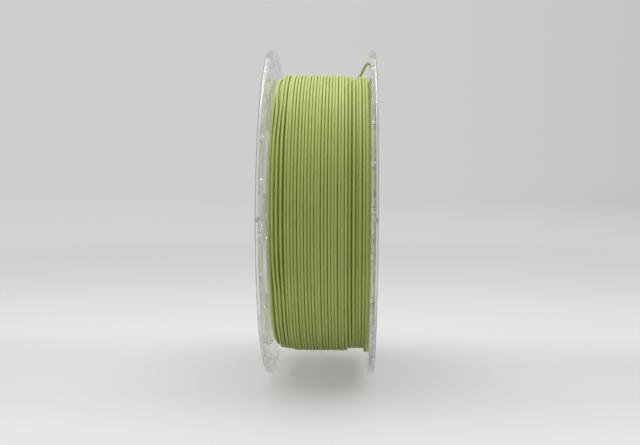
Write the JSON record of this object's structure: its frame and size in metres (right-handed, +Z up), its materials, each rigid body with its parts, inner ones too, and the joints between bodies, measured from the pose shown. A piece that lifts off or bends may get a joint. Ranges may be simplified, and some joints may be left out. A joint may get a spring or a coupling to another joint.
{
  "type": "filament spool",
  "caption": "Clear moulded reel full of matte green printer filament, wound in even turns, its loose end tucked into a hole near the rim.",
  "frame": {"origin": "the point on the supporting surface midway between the two rims, straight below the bore's centre", "axes": "+X along the spool's axis towards the flange that holds the loose end, +Y to the back, +Z up with the spool standing on its rims"},
  "size_m": [0.064, 0.2, 0.2],
  "materials": {
    "clear_plastic": "clear moulded polystyrene, glossy",
    "filament": "matte pastel olive-green extruded strand"
  },
  "bodies": {
    "root": {"left_flange": "clear_plastic", "right_flange": "clear_plastic", "winding_barrel": "clear_plastic", "filament_start_end": "filament", "filament_inner_layers": "filament", "filament_under_turns": "filament", "filament_outer_layer": "filament", "filament_free_end": "filament"}
  },
  "joints": []
}
